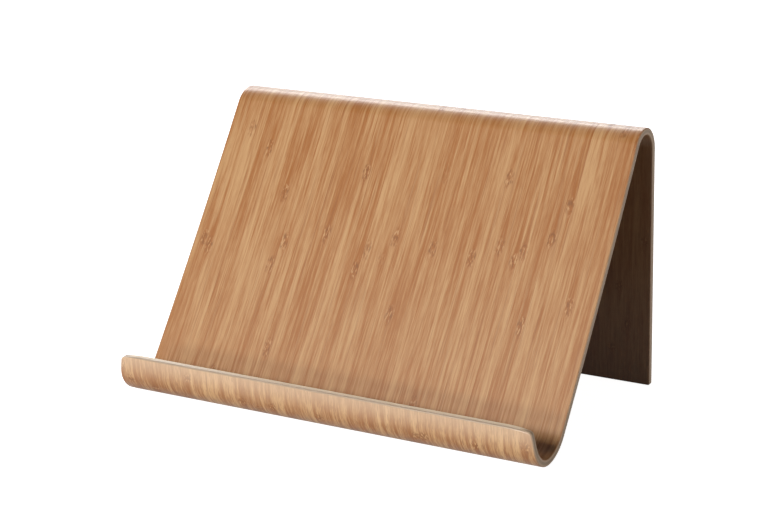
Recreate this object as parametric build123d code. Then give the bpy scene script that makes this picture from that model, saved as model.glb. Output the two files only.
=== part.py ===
"""Bent-laminated bamboo stand for a tablet or a phone.

One sheet, pressed from three bamboo plies, runs lip -> trough -> sloping panel -> top bend -> rear leg.
The sheet's section is drawn in the Y-Z plane from its middle line, and each ply lies between two parallels
of that line, so the plies seat on each other round every bend.
+X runs along the width, +Y from the lip to the leg, +Z up; the origin is on the table under the middle.
"""
from build123d import *
from math import asin, cos, degrees, radians, sin
import os

# ---- driving dimensions, mm and degrees ----------------------------------------------------------
FACE_PLY = 1.3          # each of the two outer plies, grain along the bend
CORE_PLY = 1.4          # the middle ply
SHEET = 2 * FACE_PLY + CORE_PLY

LIP_FLAT = 8.6          # straight part of the lip, below its top edge
LIP_HEADING = -83.1     # the lip drops along this heading, so it leans forward by 7 degrees
TROUGH_FRONT_R = 16.6   # middle-line radius of the trough's front part
TROUGH_TURN = 3.4       # heading where the front radius hands over to the rear one
TROUGH_REAR_R = 22.5
PANEL_FOOT = 53.9       # slope of the panel where it leaves the trough
PANEL_HEAD = 57.1       # slope where it meets the top bend: the panel is very slightly hollow
PANEL_LENGTH = 167.4
TOP_R = 13.8            # middle-line radius of the top bend
LEG_HEADING = -86.5     # the leg splays back by 3.5 degrees

TIP_WIDTH = 258.6       # across the lip's top edge, before its corners are rounded
TROUGH_WIDTH = 262.4    # across the trough, the widest place
LIP_REACH = 22.0        # length over which the sides draw in to the lip's tip
TIP_DROOP = 1.4         # how far the lip's top edge falls away at its two ends
DROOP_REACH = 15.0      # and over what length
FOOT_WIDTH = 259.6      # across the leg at the table
LIP_CORNER_R = 2.2
LEG_CORNER_R = 1.2
EASE = 0.7              # rounding of every edge that a hand meets


def direction(angle):
    return Vector(cos(radians(angle)), sin(radians(angle)))


def tip_height():
    """Height of the middle line's start that sets the trough's underside on the table."""
    lean = radians(LIP_HEADING)
    return TROUGH_FRONT_R * (1 - cos(lean)) + SHEET / 2 - LIP_FLAT * sin(lean)


def parallel(d):
    """Line at distance d from the sheet's middle, positive towards the device, as tangent lines and arcs."""
    tip = Vector(0, tip_height()) + direction(LIP_HEADING + 90) * d
    lip = Line(tip, tip + direction(LIP_HEADING) * LIP_FLAT)
    front = JernArc(lip @ 1, lip % 1, TROUGH_FRONT_R - d, TROUGH_TURN - LIP_HEADING)
    rear = JernArc(front @ 1, front % 1, TROUGH_REAR_R - d, PANEL_FOOT - TROUGH_TURN)
    hollow = PANEL_HEAD - PANEL_FOOT
    panel = JernArc(rear @ 1, rear % 1, PANEL_LENGTH / radians(hollow) - d, hollow)
    bend = JernArc(panel @ 1, panel % 1, TOP_R + d, LEG_HEADING - PANEL_HEAD)
    drop = (bend @ 1).Y / sin(radians(-LEG_HEADING))
    leg = Line(bend @ 1, bend @ 1 + direction(LEG_HEADING) * drop)
    return [lip, front, rear, panel, bend, leg]


def ply_section(under, over):
    """Closed section between two parallels; its lower end is cut level, to stand flat on the table."""
    a, b = parallel(under), parallel(over)
    closers = [Line(a[0] @ 0, b[0] @ 0), Line(a[-1] @ 1, b[-1] @ 1)]
    return Plane.YZ * make_face(a + b + closers)


def easy_arc(start, heading, reach, inset, turn=1):
    """Arc that leaves start along the heading and bends off it by inset over the reach, left if turn is 1."""
    r = (inset ** 2 + reach ** 2) / (2 * inset)
    return JernArc(start, heading, r, turn * degrees(asin(reach / r)))


def mirrored(edges, corner_r=0.0, corner=None):
    """Blank outline made of its right half, with one corner of it rounded."""
    half = make_face(edges)
    if corner is not None:
        half = fillet(half.vertices().sort_by_distance(corner)[0], corner_r)
    return half + mirror(half, Plane.YZ)


def lip_blank(widest, low_y):
    """Front view of the lip, square to its flat: the sides draw in to the tip, and the top edge droops to
    its rounded corners."""
    tip = parallel(0)[0] @ 0
    view = Plane((0, tip.X, tip.Y), x_dir=(1, 0, 0), z_dir=(0, sin(radians(LIP_HEADING)), -cos(radians(LIP_HEADING))))
    side = easy_arc((widest, -LIP_REACH), (0, 1), LIP_REACH - TIP_DROOP, (TROUGH_WIDTH - TIP_WIDTH) / 2)
    corner = side @ 1
    droop = easy_arc((corner.X - DROOP_REACH, 0), (1, 0), DROOP_REACH, TIP_DROOP, turn=-1)
    rest = Polyline(droop @ 0, (0, 0), (0, -60), (widest, -60), side @ 0)
    outline = mirrored(side.edges() + droop.edges() + rest.edges(), LIP_CORNER_R, corner)
    ahead = Pos(0, low_y, 0) * Box(400, 90, 400, align=(Align.CENTER, Align.MAX, Align.CENTER))
    return extrude(view * outline, 60, both=True) & ahead


def panel_blank(widest, low_y):
    """Plan view of the panel and the leg, from the trough's lowest line backwards."""
    back = (parallel(0)[-1] @ 1).X + SHEET
    side = easy_arc((widest, low_y), (0, 1), back - low_y, (TROUGH_WIDTH - FOOT_WIDTH) / 2)
    rest = Polyline(side @ 1, (0, back), (0, low_y), side @ 0)
    return extrude(mirrored(side.edges() + rest.edges()), 200)


def rim(body, face_d):
    """Edges round the ply's outer face, which lies on the parallel at face_d; seams across it are left out."""
    line = Wire([Plane.YZ * e for e in parallel(face_d)])

    def on_face(edge):
        ends = [edge.position_at(t) for t in (0.1, 0.5, 0.9)]
        return all(line.distance_to(Vector(0, p.Y, p.Z)) < 1e-3 for p in ends)

    def is_seam(edge):
        c = edge.center()
        inside = not (c.Z < 0.01 and c.Y > 90) and not (c.Z > 20 and c.Y < 5)
        return abs((edge % 0.5).X) > 0.9999 and inside

    return [e for e in body.edges() if on_face(e) and not is_seam(e)]


def ply(under, over, face_d=None):
    """One ply: its section drawn out across the width, cut to the blank, foot corners rounded, rim eased."""
    lip = parallel(0)[0]
    low_y = (lip @ 1).X - TROUGH_FRONT_R * sin(radians(LIP_HEADING))
    blank = lip_blank(TROUGH_WIDTH / 2, low_y) + panel_blank(TROUGH_WIDTH / 2, low_y)
    body = extrude(ply_section(under, over), TROUGH_WIDTH, both=True) & blank
    foot = [e for e in body.edges() if e.center().Z < 0.01 and e.center().Y > 90 and abs(e.center().X) > 99]
    body = fillet(foot, LEG_CORNER_R)
    if face_d is not None:
        body = fillet(rim(body, face_d), EASE)
    middle_y = ((parallel(-SHEET / 2)[0] @ 0).X + (parallel(SHEET / 2)[-1] @ 1).X) / 2
    return Pos(0, -middle_y, 0) * body.solid()


half, core = SHEET / 2, CORE_PLY / 2
plies = {
    "face_ply": ply(core, half, half),
    "core_ply": ply(-core, core),
    "under_ply": ply(-half, -core, -half),
}

os.makedirs("parts", exist_ok=True)
for name, solid in plies.items():
    export_step(solid, f"parts/{name}.step")
    box = solid.bounding_box()
    print(f"{name}: {solid.volume / 1000:.1f} cm3, {box.size.X:.1f} x {box.size.Y:.1f} x {box.size.Z:.1f} mm")
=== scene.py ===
"""Looks of the bent-bamboo stand: three pressed plies, a clear satin lacquer, soft studio light."""
from math import cos, pi, radians, sin, tan

import bpy
import numpy as np
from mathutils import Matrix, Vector


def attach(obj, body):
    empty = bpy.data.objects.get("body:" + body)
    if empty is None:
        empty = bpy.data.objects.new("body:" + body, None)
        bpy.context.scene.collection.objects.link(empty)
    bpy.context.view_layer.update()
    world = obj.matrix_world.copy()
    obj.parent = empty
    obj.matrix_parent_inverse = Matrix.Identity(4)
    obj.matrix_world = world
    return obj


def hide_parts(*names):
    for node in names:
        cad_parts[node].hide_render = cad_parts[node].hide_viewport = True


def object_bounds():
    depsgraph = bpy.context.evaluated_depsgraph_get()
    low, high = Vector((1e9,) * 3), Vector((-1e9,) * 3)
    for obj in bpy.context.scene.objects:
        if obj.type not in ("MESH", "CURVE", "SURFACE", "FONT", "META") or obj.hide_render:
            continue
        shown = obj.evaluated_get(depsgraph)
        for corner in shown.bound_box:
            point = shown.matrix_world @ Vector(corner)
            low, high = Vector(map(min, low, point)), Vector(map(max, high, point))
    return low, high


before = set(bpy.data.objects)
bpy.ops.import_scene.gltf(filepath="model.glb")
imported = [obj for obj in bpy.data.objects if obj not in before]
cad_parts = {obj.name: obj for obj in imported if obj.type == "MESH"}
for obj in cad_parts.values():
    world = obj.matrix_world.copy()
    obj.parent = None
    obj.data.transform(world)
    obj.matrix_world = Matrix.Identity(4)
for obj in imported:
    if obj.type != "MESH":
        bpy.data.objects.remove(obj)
cad_low, cad_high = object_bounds()
scene = bpy.context.scene

# ---- the sheet, metres and degrees, as in the part ------------------------------------------------
MM = 0.001
FACE_PLY, CORE_PLY = 1.3 * MM, 1.4 * MM
HALF_SHEET = FACE_PLY + CORE_PLY / 2
HALF_CORE = CORE_PLY / 2
EASE = 0.7 * MM                     # rounded rim of the two outer faces
LIP_FLAT, LIP_HEADING = 8.6 * MM, -83.1
TROUGH_FRONT_R, TROUGH_TURN, TROUGH_REAR_R = 16.6 * MM, 3.4, 22.5 * MM
PANEL_FOOT, PANEL_HEAD, PANEL_LENGTH = 53.9, 57.1, 167.4 * MM
TOP_R, LEG_HEADING = 13.8 * MM, -86.5
TROUGH_WIDTH, TIP_WIDTH, FOOT_WIDTH = 262.4 * MM, 258.6 * MM, 259.6 * MM
LIP_REACH = 22.0 * MM
TIP_DROOP, DROOP_REACH = 1.4 * MM, 15.0 * MM
LIP_CORNER_R, LEG_CORNER_R = 2.2 * MM, 1.2 * MM

NEARLY_STRAIGHT = 1e-6              # curvature of a straight run, per metre, so that nothing divides by nought


def arc_run(radius, turn):
    """Length and curvature of an arc of that radius that turns by so many degrees, left if positive."""
    length = radius * abs(radians(turn))
    return length, radians(turn) / length


def sheet_runs():
    """Runs of constant curvature from the lip's tip to the leg, and their starts on the middle line."""
    runs = [
        (LIP_FLAT, NEARLY_STRAIGHT),
        arc_run(TROUGH_FRONT_R, TROUGH_TURN - LIP_HEADING),
        arc_run(TROUGH_REAR_R, PANEL_FOOT - TROUGH_TURN),
        (PANEL_LENGTH, radians(PANEL_HEAD - PANEL_FOOT) / PANEL_LENGTH),
        arc_run(TOP_R, LEG_HEADING - PANEL_HEAD),
    ]
    lean = radians(LIP_HEADING)
    tip_z = TROUGH_FRONT_R * (1 - cos(lean)) + HALF_SHEET - LIP_FLAT * sin(lean)
    starts = [(0.0, 0.0, tip_z, lean)]
    for length, k in runs:
        s, y, z, h = starts[-1]
        turned = h + k * length
        starts.append((s + length, y + (sin(turned) - sin(h)) / k, z - (cos(turned) - cos(h)) / k, turned))
    runs.append((starts[-1][2] / sin(-starts[-1][3]), NEARLY_STRAIGHT))
    return np.array(runs), np.array(starts)


RUNS, STARTS = sheet_runs()
LEG_START = STARTS[-1][0]
SHEET_LENGTH = LEG_START + RUNS[-1][0]


def middle_line(s):
    """Y, Z and heading at arc length s. On a run of curvature k that starts at (y0, z0) with heading h0:
    h = h0 + k t, y = y0 + (sin h - sin h0) / k and z = z0 - (cos h - cos h0) / k, t being s past its start."""
    run = np.clip(np.searchsorted(STARTS[:, 0], s, side="right") - 1, 0, len(RUNS) - 1)
    s0, y0, z0, h0 = STARTS[run].T
    k = RUNS[run, 1]
    h = h0 + k * (s - s0)
    return y0 + (np.sin(h) - np.sin(h0)) / k, z0 - (np.cos(h) - np.cos(h0)) / k, h


def sheet_yz(s, d):
    """Y and Z at arc length s and distance d from the middle, along the normal (-sin h, cos h).
    On the leg, s slides by d tan(lean) as it nears the foot, which cuts the foot level."""
    towards_foot = np.clip((s - LEG_START) / (SHEET_LENGTH - LEG_START), 0, 1)
    y, z, h = middle_line(s + d * tan(radians(90 + LEG_HEADING)) * towards_foot)
    return y - d * np.sin(h), z + d * np.cos(h)


TIP_Y = sheet_yz(np.array([0.0]), -HALF_SHEET)[0][0]
FOOT_Y = sheet_yz(np.array([SHEET_LENGTH]), HALF_SHEET)[0][0]
CENTRE_Y = (TIP_Y + FOOT_Y) / 2      # the frame's origin lies under the middle of the outline


def arc_drop(distance, reach, inset):
    """How far an arc has drawn in at a distance from its tangent point, if it draws in by inset at reach."""
    r = (inset ** 2 + reach ** 2) / (2 * inset)
    return r - np.sqrt(r ** 2 - np.clip(distance, 0, reach) ** 2)


def half_width(s):
    """Half the sheet's width at arc length s: widest over the trough's lowest line, less at tip and foot."""
    y, z, _ = middle_line(s)
    lean = radians(LIP_HEADING)
    below_tip = y * cos(lean) + (z - STARTS[0][2]) * sin(lean)
    low_y = LIP_FLAT * cos(lean) - TROUGH_FRONT_R * sin(lean)
    back = middle_line(np.array([SHEET_LENGTH]))[0][0] + 2 * HALF_SHEET - low_y
    lip = arc_drop(LIP_REACH - below_tip, LIP_REACH - TIP_DROOP, (TROUGH_WIDTH - TIP_WIDTH) / 2)
    rear = arc_drop(y - low_y, back, (TROUGH_WIDTH - FOOT_WIDTH) / 2)
    return TROUGH_WIDTH / 2 - np.where(y < low_y, lip, rear)


# ---- plies as closed surfaces ----------------------------------------------------------------------
STATIONS_PER_RUN = (4, 30, 22, 40, 48, 30)
COLUMNS = 61                        # points across the width
CORNER_STEPS = 7                    # rows of points round each corner of the outline
DROOP_FADE = 20.0 * MM              # how far below the tip the rows of points still follow its droop
RIM_STEPS = 6                       # bands round an eased rim
SHARP_FROM = radians(50)            # edges that turn by more than this are shaded sharp


def body_stations():
    """Arc lengths between the rounded corners, closer together on the tight bends."""
    ends = np.append(STARTS[:, 0], SHEET_LENGTH)
    ends[0], ends[-1] = LIP_CORNER_R, SHEET_LENGTH - LEG_CORNER_R
    parts = [np.linspace(a, b, n, endpoint=False) for a, b, n in zip(ends, ends[1:], STATIONS_PER_RUN)]
    return np.append(np.concatenate(parts), ends[-1])


def outline(q):
    """The sheet's developed outline, drawn in by q: arc lengths and half widths from tip to foot.
    A corner of radius r keeps its centre and shrinks to r - q; the sides move in by q."""
    turn = np.linspace(0, np.pi / 2, CORNER_STEPS, endpoint=False)
    s = body_stations()
    tip_centre = half_width(np.array([LIP_CORNER_R]))[0] - LIP_CORNER_R
    foot_centre = half_width(np.array([SHEET_LENGTH - LEG_CORNER_R]))[0] - LEG_CORNER_R
    tip, foot = LIP_CORNER_R - q, LEG_CORNER_R - q
    along = [LIP_CORNER_R - tip * np.cos(turn), s, SHEET_LENGTH - LEG_CORNER_R + foot * np.cos(turn)[::-1]]
    across = [tip_centre + tip * np.sin(turn), half_width(s) - q, foot_centre + foot * np.sin(turn)[::-1]]
    return np.concatenate(along), np.concatenate(across)


def face_grid(q, d):
    """Grid (x, arc length, depth) over the outline drawn in by q: x = t times the half width, t from -1 to 1.
    Near the tip, arc lengths grow by the droop of its ends times (1 - s / DROOP_FADE) to the power 1.5."""
    s, half = outline(q)
    t = np.linspace(-1, 1, COLUMNS)
    x = half[:, None] * t[None, :]
    droop = arc_drop(np.abs(x) - (TIP_WIDTH / 2 - DROOP_REACH), DROOP_REACH, TIP_DROOP)
    along = s[:, None] + droop * np.clip(1 - s / DROOP_FADE, 0, 1)[:, None] ** 1.5
    return np.stack([x, along, np.full(x.shape, d)], -1)


def boundary(rows, columns):
    """Indices of a grid's border, once round: up the right side, over the foot, down the left, and the tip."""
    grid = np.arange(rows * columns).reshape(rows, columns)
    return np.concatenate([grid[:-1, -1], grid[-1, :0:-1], grid[:0:-1, 0], grid[0, :-1]])


def grid_quads(rows, columns, first):
    """Quads of a grid whose points start at index first."""
    grid = np.arange(rows * columns).reshape(rows, columns) + first
    return np.stack([grid[:-1, :-1], grid[:-1, 1:], grid[1:, 1:], grid[1:, :-1]], -1).reshape(-1, 4)


def band_quads(a, b):
    """Quads between two closed rings of indices."""
    return np.stack([a, np.roll(a, -1), np.roll(b, -1), b], -1)


def ply_piece(name, inner, outer, ease):
    """Closed ply between depths inner and outer. Rings go from the inner face's border up the wall, then
    round the eased rim, where q = ease (1 - cos a) and the depth falls short of outer by ease (1 - sin a)."""
    side = 1 if outer > inner else -1
    turn = np.linspace(0, np.pi / 2, RIM_STEPS + 1) if ease else np.array([0.0])
    insets = ease * (1 - np.cos(turn))
    depths = outer - side * ease * (1 - np.sin(turn))
    base, top = face_grid(0, inner), face_grid(insets[-1], outer)
    rows, columns = base.shape[:2]
    border = boundary(rows, columns)
    points = [base.reshape(-1, 3)]
    rings = [border]
    edge = [np.isin(np.arange(rows * columns), border).astype(float)]
    for q, d, a in list(zip(insets, depths, turn))[:-1]:
        ring = face_grid(q, d).reshape(-1, 3)[border]
        rings.append(np.arange(len(border)) + sum(map(len, points)))
        points.append(ring)
        edge.append(np.full(len(ring), 1 - a / (np.pi / 2)))
    first = sum(map(len, points))
    points.append(top.reshape(-1, 3))
    rings.append(border + first)
    edge.append(edge[0] * (0 if ease else 1))
    quads = [grid_quads(rows, columns, 0)[:, ::-1], grid_quads(rows, columns, first)]
    quads += [band_quads(a, b) for a, b in zip(rings, rings[1:])]
    return sheet_mesh(name, np.concatenate(points), np.concatenate(quads)[:, ::side], np.concatenate(edge))


def sheet_mesh(name, grain, quads, edge):
    """Mesh whose points lie at x, arc length and depth in the bent sheet. It keeps those as the attribute
    grain, so that the wood runs round the bends, and how far a point is on a cut edge as edge."""
    y, z = sheet_yz(grain[:, 1], grain[:, 2])
    co = np.stack([grain[:, 0], y - CENTRE_Y, z], -1)
    mesh = bpy.data.meshes.new(name)
    mesh.from_pydata(co.tolist(), [], quads.tolist())
    mesh.attributes.new("grain", "FLOAT_VECTOR", "POINT").data.foreach_set("vector", grain.ravel())
    mesh.attributes.new("edge", "FLOAT", "POINT").data.foreach_set("value", edge)
    mesh.shade_smooth()
    mesh.set_sharp_from_angle(angle=SHARP_FROM)
    piece = bpy.data.objects.new(name, mesh)
    scene.collection.objects.link(piece)
    return piece


# ---- colours and measures of the wood, colours linear ----------------------------------------------
STRIP_WIDTH, STRIP_UNEVENNESS = 5.0 * MM, 0.3
KNUCKLE_SPACING = 0.30
MEAN_SHADE = 1.84                           # average of the grain's weighted noises
HONEY = (0.31, 0.125, 0.045)
GAP_BROWN = (0.20, 0.075, 0.02, 1)          # gaps in a planed-through knuckle
LEG_PAINTED_SHADE = (0.16, 0.085, 0.05, 1)              # painted shade: the dark colour the wood inside the leg is painted, for the shadow there
LIP_PAINTED_HIGHLIGHT = (0.76, 0.57, 0.40, 1)            # painted highlight: the lighter colour the wood is painted towards near the lip's tip
SANDED_FACE = (0.47, 0.345, 0.24)           # cut edges of the two outer plies
SANDED_CORE = (0.35, 0.25, 0.165)
TIP_BAND = (1.0 * MM, 0.3 * MM)             # arc lengths where the tip's colour, partly painted light, starts and is full
LIP_END = (40.0 * MM, 120.0 * MM)           # the lip's contrast gives way to the leg's between these
HAIRLINES_END = (30.0 * MM, 60.0 * MM)      # the lip's hairlines die out between these
PAINTED_SHADE_REACH = 30.0 * MM                     # how far before the leg its painted shade begins


# ---- shader helpers --------------------------------------------------------------------------------
def group(name, inputs, outputs):
    """New shader node group; inputs and outputs are (name, socket type, default) and (name, socket type)."""
    tree = bpy.data.node_groups.new(name, "ShaderNodeTree")
    for label, kind, value in inputs:
        tree.interface.new_socket(label, in_out="INPUT", socket_type=kind).default_value = value
    for label, kind in outputs:
        tree.interface.new_socket(label, in_out="OUTPUT", socket_type=kind)
    return tree, tree.nodes.new("NodeGroupInput"), tree.nodes.new("NodeGroupOutput")


def feed(tree, socket, value):
    """Links an output socket, or sets a constant."""
    if isinstance(value, bpy.types.NodeSocket):
        tree.links.new(value, socket)
    else:
        socket.default_value = value


def math(tree, operation, *values):
    """Result of one math operation on sockets or numbers."""
    node = tree.nodes.new("ShaderNodeMath")
    node.operation = operation
    for socket, value in zip(node.inputs, values):
        feed(tree, socket, value)
    return node.outputs[0]


def ramp_between(tree, value, low, high, out_low=0.0, out_high=1.0):
    """Smooth step from out_low where value is low to out_high where it is high; low may be above high."""
    node = tree.nodes.new("ShaderNodeMapRange")
    node.interpolation_type = "SMOOTHSTEP"
    for socket, v in zip(node.inputs, (value, low, high, out_low, out_high)):
        feed(tree, socket, v)
    return node.outputs[0]


def mix(tree, factor, a, b):
    """Colour a at factor 0, b at factor 1 and between them a blend."""
    node = tree.nodes.new("ShaderNodeMix")
    node.data_type = "RGBA"
    for label, value in (("Factor_Float", factor), ("A_Color", a), ("B_Color", b)):
        feed(tree, next(s for s in node.inputs if s.identifier == label), value)
    return next(s for s in node.outputs if s.identifier == "Result_Color")


def vector(tree, x, y, z):
    node = tree.nodes.new("ShaderNodeCombineXYZ")
    for socket, value in zip(node.inputs, (x, y, z)):
        feed(tree, socket, value)
    return node.outputs[0]


def noise(tree, place, detail):
    """Noise between 0 and 1 at a place that is already in units of its grain."""
    node = tree.nodes.new("ShaderNodeTexNoise")
    feed(tree, node.inputs["Vector"], place)
    node.inputs["Scale"].default_value = 1.0
    node.inputs["Detail"].default_value = detail
    return node.outputs["Fac"]


def strips_along(tree, across, width):
    """Glued strips side by side: how far off its strip's middle a point is, how near a joint in strip
    widths, and three values that differ from strip to strip."""
    place = math(tree, "DIVIDE", across, width)
    strip, joint = (tree.nodes.new("ShaderNodeTexVoronoi") for _ in range(2))
    for node in (strip, joint):
        node.voronoi_dimensions = "1D"
        feed(tree, node.inputs["W"], place)
        node.inputs["Scale"].default_value = 1.0
        node.inputs["Randomness"].default_value = STRIP_UNEVENNESS
    joint.feature = "DISTANCE_TO_EDGE"
    split = tree.nodes.new("ShaderNodeSeparateColor")
    feed(tree, split.inputs[0], strip.outputs["Color"])
    off = math(tree, "MULTIPLY", math(tree, "SUBTRACT", place, strip.outputs["W"]), width)
    return off, joint.outputs["Distance"], split.outputs


def weighted(tree, *terms):
    """Sum of value times weight over the (value, weight) terms."""
    total = 0.0
    for value, weight in terms:
        total = math(tree, "MULTIPLY_ADD", value, weight, total)
    return total


def bamboo_group():
    """Bamboo pressed from strips on edge. The inputs place a point in the flat sheet: across the strips,
    along them and through the ply. The strips differ a little in tone. Over them run soft streaks a couple
    of millimetres wide, fine fibre bundles, thin honey-red lines and, where Hairlines is above 0, short dark
    hairlines. Most strips have a knuckle, where the culm's joint was planed through: torn slivers between
    dark gaps, and a brown shade that tapers off along the strip, mostly to one side. Knuckles gather round
    Knuckle Place, and come again every Knuckle Spacing."""
    tree, given, out = group(
        "bamboo strips",
        [("Across", "NodeSocketFloat", 0.0), ("Along", "NodeSocketFloat", 0.0), ("Through", "NodeSocketFloat", 0.0),
         ("Strip Width", "NodeSocketFloat", 0.005),
         ("Knuckle Place", "NodeSocketFloat", 0.15), ("Knuckle Spacing", "NodeSocketFloat", 0.3),
         ("Contrast", "NodeSocketFloat", 1.0), ("Hairlines", "NodeSocketFloat", 0.0),
         ("Pale", "NodeSocketColor", (0.6, 0.4, 0.2, 1)), ("Deep", "NodeSocketColor", (0.4, 0.2, 0.1, 1)),
         ("Honey", "NodeSocketColor", (0.3, 0.1, 0.05, 1))],
        [("Color", "NodeSocketColor"), ("Roughness", "NodeSocketFloat"), ("Height", "NodeSocketFloat")])
    across, along, through, width, place, spacing, contrast, hairlines, pale, deep, honey = given.outputs[:11]
    off, to_joint, (tone, chance, shift) = strips_along(tree, across, width)

    def grain(x, across_scale, along_scale, through_scale, seed, detail=2.0):
        """Noise drawn out along the strips; the scales are per metre."""
        where = vector(tree, math(tree, "MULTIPLY", x, across_scale), math(tree, "MULTIPLY", along, along_scale),
                       math(tree, "MULTIPLY_ADD", through, through_scale, seed))
        return noise(tree, where, detail)

    # how far a point is from its strip's knuckle, along the strip; most knuckles lie close to Knuckle Place
    lap = math(tree, "SUBTRACT", shift, 0.5)
    lap = math(tree, "MULTIPLY", math(tree, "ABSOLUTE", lap), lap)
    lap = math(tree, "MULTIPLY_ADD", lap, -2.0, math(tree, "DIVIDE", math(tree, "SUBTRACT", along, place), spacing))
    lap = math(tree, "SUBTRACT", lap, math(tree, "ROUND", lap))
    ragged = grain(across, 900, 350, 0, 7.0, 1.0)
    from_knuckle = math(tree, "MULTIPLY_ADD", math(tree, "SUBTRACT", ragged, 0.5), 0.005,
                        math(tree, "MULTIPLY", lap, spacing))
    shown = ramp_between(tree, chance, 0.30, 0.40)

    def oval(length, breadth, inner, ahead=0.0):
        """1 inside the knuckle's oval, or one that far ahead of it, and 0 outside it, softly from its rim to
        that share of its size."""
        past = math(tree, "DIVIDE", math(tree, "SUBTRACT", from_knuckle, ahead), length)
        reach = math(tree, "ADD", math(tree, "POWER", past, 2),
                     math(tree, "POWER", math(tree, "DIVIDE", off, breadth), 2))
        return math(tree, "MULTIPLY", ramp_between(tree, reach, 1.0, inner), shown)

    scar, shade_round = oval(0.0068, 0.0038, 0.15), oval(0.0170, 0.0020, 0.0, 0.007)
    parted = math(tree, "MULTIPLY", math(tree, "MULTIPLY", off, oval(0.0120, 0.0045, 0.0)), -0.35)
    combed = math(tree, "ADD", across, parted)

    seed = math(tree, "MULTIPLY", tone, 5.0)
    cloud = grain(across, 60, 14, 0, 3.0)
    broad = grain(combed, 330, 13, 330, seed, 2.0)
    streak = grain(combed, 800, 24, 800, 11.0, 3.0)
    fleck = grain(combed, 1700, 60, 1700, 19.0, 2.0)
    fibre = grain(combed, 3600, 170, 3600, 17.0, 1.0)
    lines = ramp_between(tree, grain(combed, 900, 15, 900, 23.0, 1.0), 0.60, 0.72)
    hair = ramp_between(tree, grain(combed, 2400, 90, 2400, 41.0, 1.0), 0.58, 0.66)
    torn = grain(across, 1000, 260, 0, 29.0, 2.0)

    # how deep the wood's colour is, from 0, pale, to 1, deep
    shade = weighted(tree, (tone, 0.26), (cloud, 0.35), (broad, 0.90), (streak, 1.15), (fleck, 0.60), (fibre, 0.50))
    shade = math(tree, "MULTIPLY", math(tree, "SUBTRACT", shade, MEAN_SHADE), contrast)
    shade = weighted(tree, (shade, 1.0), (shade_round, 0.19), (scar, 0.14), (0.5, 1.0))
    colour = mix(tree, ramp_between(tree, shade, 0.0, 1.0), pale, deep)
    colour = mix(tree, math(tree, "MULTIPLY", lines, 0.35), colour, honey)
    colour = mix(tree, math(tree, "MULTIPLY", hair, hairlines), colour, honey)

    # the planed-through knuckle, then the glue line between two strips
    gaps = math(tree, "MULTIPLY", ramp_between(tree, torn, 0.50, 0.38), math(tree, "MULTIPLY", scar, 0.6))
    colour = mix(tree, gaps, colour, GAP_BROWN)
    slivers = math(tree, "MULTIPLY", ramp_between(tree, torn, 0.53, 0.64), math(tree, "MULTIPLY", scar, 0.8))
    colour = mix(tree, slivers, colour, pale)
    joint = ramp_between(tree, to_joint, 0.035, 0.0)
    colour = mix(tree, math(tree, "MULTIPLY", joint, math(tree, "MULTIPLY", tone, 0.5)), colour, honey)

    feed(tree, out.inputs["Color"], colour)
    feed(tree, out.inputs["Roughness"], weighted(tree, (streak, 0.12), (fibre, 0.10), (scar, 0.08), (0.30, 1.0)))
    feed(tree, out.inputs["Height"], weighted(tree, (fibre, 0.5), (streak, 0.5), (scar, -0.3), (joint, -0.4),
                                              (math(tree, "MULTIPLY", scar, torn), 1.2)))
    return tree


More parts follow.
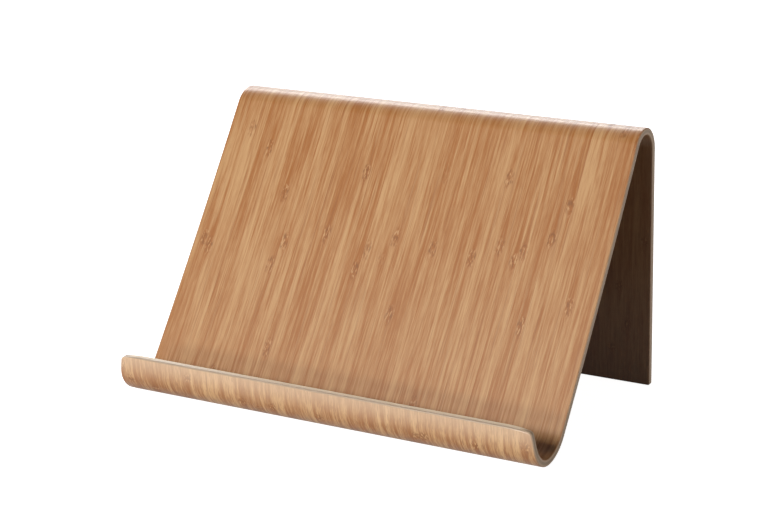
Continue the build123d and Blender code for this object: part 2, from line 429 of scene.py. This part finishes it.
def bamboo_material(name, pale, deep, cut, tip, contrast, leg_contrast, knuckle_place, start, painted_highlight,
                    turned=False, short=1.0, leg_painted_shade=0.0, hairlines=0.0):
    """Lacquered bamboo. The wood varies from pale to deep; cut is the colour of its sanded edge and tip that of
    the lip's end, partly sanded end grain and partly painted light that evens out how the lamps light its
    rims. contrast holds on the lip and leg_contrast past the trough. start sets where
    on the log of strips the ply begins. fade is a painted highlight: the arc length from which the wood is
    painted lighter towards the lip's tip, the one where it is lightest, and how much. A turned ply has its
    grain across the width. short is how
    many times shorter than usual its streaks and knuckles are, leg_painted_shade how far the wood on the leg is
    darkened with painted shade for the shadow inside it, and hairlines how strong the lip's dark hairlines are."""
    material = bpy.data.materials.new(name)
    material.use_nodes = True
    tree = material.node_tree
    shader = tree.nodes["Principled BSDF"]
    grain, edge = (tree.nodes.new("ShaderNodeAttribute") for _ in range(2))
    grain.attribute_name, edge.attribute_name = "grain", "edge"
    place = tree.nodes.new("ShaderNodeSeparateXYZ")
    feed(tree, place.inputs[0], grain.outputs["Vector"])
    x, s, d = place.outputs
    across, along = (s, x) if turned else (x, s)
    wood = tree.nodes.new("ShaderNodeGroup")
    wood.node_tree = STRIPS
    feed(tree, wood.inputs["Across"], math(tree, "ADD", across, start))
    feed(tree, wood.inputs["Along"], math(tree, "MULTIPLY", along, short))
    feed(tree, wood.inputs["Through"], d)
    for label, value in (("Strip Width", STRIP_WIDTH), ("Knuckle Place", knuckle_place),
                         ("Knuckle Spacing", KNUCKLE_SPACING),
                         ("Pale", (*pale, 1)), ("Deep", (*deep, 1)), ("Honey", (*HONEY, 1))):
        wood.inputs[label].default_value = value
    feed(tree, wood.inputs["Contrast"], ramp_between(tree, s, *LIP_END, contrast, leg_contrast))
    feed(tree, wood.inputs["Hairlines"], ramp_between(tree, s, *HAIRLINES_END, hairlines, 0.0))
    # painted shade: the wood is darkened towards the leg and on it, where its inside lies in shadow
    painted_shade_amount = ramp_between(tree, s, LEG_START - PAINTED_SHADE_REACH, LEG_START, 0.0, leg_painted_shade)
    wood_colour = mix(tree, painted_shade_amount, wood.outputs["Color"], LEG_PAINTED_SHADE)
    sanded = math(tree, "MULTIPLY", edge.outputs["Fac"], 0.8)
    colour = mix(tree, sanded, wood_colour, (*cut, 1))
    # painted highlight: the wood is painted lighter towards the lip's tip
    colour = mix(tree, ramp_between(tree, s, painted_highlight[0], painted_highlight[1], 0.0, painted_highlight[2]), colour, LIP_PAINTED_HIGHLIGHT)
    # partly painted light: the tip is partly pale end grain, lightened on the face ply's rim away from the lamps
    # and darkened on the under ply's lit rim
    colour = mix(tree, ramp_between(tree, s, *TIP_BAND, 0.0, 0.85), colour, (*tip, 1))
    feed(tree, shader.inputs["Base Color"], colour)
    feed(tree, shader.inputs["Roughness"], math(tree, "MULTIPLY_ADD", sanded, 0.25, wood.outputs["Roughness"]))
    bump = tree.nodes.new("ShaderNodeBump")
    bump.inputs["Strength"].default_value = 0.35
    bump.inputs["Distance"].default_value = 0.0001
    feed(tree, bump.inputs["Height"], wood.outputs["Height"])
    feed(tree, shader.inputs["Normal"], bump.outputs["Normal"])
    shader.inputs["IOR"].default_value = 1.5
    shader.inputs["Coat Weight"].default_value = 0.45
    shader.inputs["Coat Roughness"].default_value = 0.27
    return material


# ---- the pieces ------------------------------------------------------------------------------------
STRIPS = bamboo_group()

PLIES = {   # node: inner depth, outer depth, easing of the rim, material slot, material
    # the tips are partly painted light: near-white on the face ply's rim, away from the lamps, dark on the under
    # ply's rim, which the front lamps light
    "face_ply": (HALF_CORE, HALF_SHEET, EASE, "bamboo_face", bamboo_material(
        "lacquered face ply", pale=(0.59, 0.340, 0.154), deep=(0.37, 0.130, 0.028), cut=SANDED_FACE,
        tip=(0.98, 0.85, 0.62), contrast=1.02, leg_contrast=1.02, knuckle_place=0.145, start=1.0,
        painted_highlight=(0.20, 0.05, 0.07))),
    "core_ply": (-HALF_CORE, HALF_CORE, 0, "bamboo_core", bamboo_material(
        "core ply edge", pale=(0.38, 0.26, 0.16), deep=(0.24, 0.15, 0.08), cut=SANDED_CORE,
        tip=(0.80, 0.62, 0.43), contrast=1.0, leg_contrast=1.0, knuckle_place=0.0, start=2.0,
        painted_highlight=(0.001, 0.0, 0.1), turned=True)),
    # the under ply's leg_painted_shade is painted shade inside the leg, and its fade is a painted highlight towards
    # the lip's tip
    "under_ply": (-HALF_CORE, -HALF_SHEET, EASE, "bamboo_back", bamboo_material(
        "lacquered under ply", pale=(0.63, 0.376, 0.170), deep=(0.345, 0.127, 0.030), cut=SANDED_FACE,
        tip=(0.38, 0.27, 0.175), contrast=1.45, leg_contrast=0.9, knuckle_place=0.030, start=3.0,
        painted_highlight=(0.017, 0.0, 0.55), short=2.0, leg_painted_shade=0.6, hairlines=0.85)),
}
for node, (inner, outer, ease, slot, material) in PLIES.items():
    piece = ply_piece("bamboo_" + node, inner, outer, ease)
    piece.data.materials.append(material)
    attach(piece, "root")
    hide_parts(node)


# ---- camera, floor and light -----------------------------------------------------------------------
CAMERA_AZIMUTH, CAMERA_ELEVATION = 28.98, 15.53
CAMERA_PLACE = Vector((0.53642, -0.97903, 0.39152))
CAMERA_LENS = 96.15                 # on a 36 mm sensor
FLOOR_SIZE = 14.0
FLOOR_GREY = (0.56, 0.56, 0.56, 1)
SEEN_GLOW, MIRRORED_GLOW = 0.97, 0.18   # how bright the floor glows to the camera and in the lacquer


def back_direction(azimuth, elevation):
    """Unit vector from the object towards a camera or a lamp; azimuth 0 is in front, on the lip's side."""
    a, e = radians(azimuth), radians(elevation)
    return Vector((sin(a) * cos(e), -cos(a) * cos(e), sin(e)))


def make_camera():
    data = bpy.data.cameras.new("camera")
    data.lens, data.sensor_width = CAMERA_LENS, 36.0
    data.clip_start, data.clip_end = 0.02, 60.0
    camera = bpy.data.objects.new("camera", data)
    camera.location = CAMERA_PLACE
    camera.rotation_mode = "QUATERNION"
    camera.rotation_quaternion = back_direction(CAMERA_AZIMUTH, CAMERA_ELEVATION).to_track_quat("Z", "Y")
    scene.collection.objects.link(camera)
    scene.camera = camera


def softbox(name, azimuth, elevation, distance, width, height, brightness, glossy=True):
    """Rectangular lamp that faces the middle of the stand; its brightness is that of its own face, where
    a white card in even light has 1. One that isn't glossy lights the wood but isn't mirrored in it."""
    data = bpy.data.lights.new(name, "AREA")
    data.shape, data.size, data.size_y = "RECTANGLE", width, height
    data.energy = brightness * width * height * pi
    lamp = bpy.data.objects.new(name, data)
    towards = back_direction(azimuth, elevation)
    lamp.location = Vector((0, 0, cad_high.z / 2)) + towards * distance
    lamp.rotation_mode = "QUATERNION"
    lamp.rotation_quaternion = towards.to_track_quat("Z", "Y")
    lamp.visible_camera, lamp.visible_glossy = False, glossy
    scene.collection.objects.link(lamp)


def make_floor():
    mesh = bpy.data.meshes.new("floor")
    h = FLOOR_SIZE / 2
    mesh.from_pydata([(-h, -h, 0), (h, -h, 0), (h, h, 0), (-h, h, 0)], [], [(0, 1, 2, 3)])
    floor = bpy.data.objects.new("floor", mesh)
    material = bpy.data.materials.new("pale floor")
    material.use_nodes = True
    shader = material.node_tree.nodes["Principled BSDF"]
    shader.inputs["Base Color"].default_value = FLOOR_GREY
    shader.inputs["Roughness"].default_value = 0.8
    shader.inputs["Emission Color"].default_value = (1, 1, 1, 1)
    path = material.node_tree.nodes.new("ShaderNodeLightPath")
    glow = weighted(material.node_tree, (path.outputs["Is Camera Ray"], SEEN_GLOW),
                    (path.outputs["Is Glossy Ray"], MIRRORED_GLOW))
    feed(material.node_tree, shader.inputs["Emission Strength"], glow)
    mesh.materials.append(material)
    scene.collection.objects.link(floor)


def make_world(seen, lit):
    """White surroundings: seen is how bright they look, lit how much light they give."""
    world = bpy.data.worlds.new("studio")
    world.use_nodes = True
    tree = world.node_tree
    background = tree.nodes["Background"]
    background.inputs["Color"].default_value = (1, 1, 1, 1)
    path = tree.nodes.new("ShaderNodeLightPath")
    strength = math(tree, "MULTIPLY_ADD", path.outputs["Is Camera Ray"], seen - lit, lit)
    feed(tree, background.inputs["Strength"], strength)
    scene.world = world


make_camera()
make_floor()
make_world(1.0, 0.04)
# lamp, azimuth, elevation, distance, width, height, brightness
softbox("front softbox", -12, 24, 2.4, 1.3, 0.7, 16.8)
softbox("low front fill", -12, 4, 2.2, 0.9, 0.3, 12.0)
softbox("back softbox", 216, 39, 2.6, 2.0, 0.6, 8.5)
softbox("backdrop card", 210, 15, 3.0, 3.0, 1.2, 2.0)
softbox("side softbox", 101, 3, 2.0, 0.4, 0.3, 32.0, glossy=False)
scene.view_settings.view_transform = "Standard"
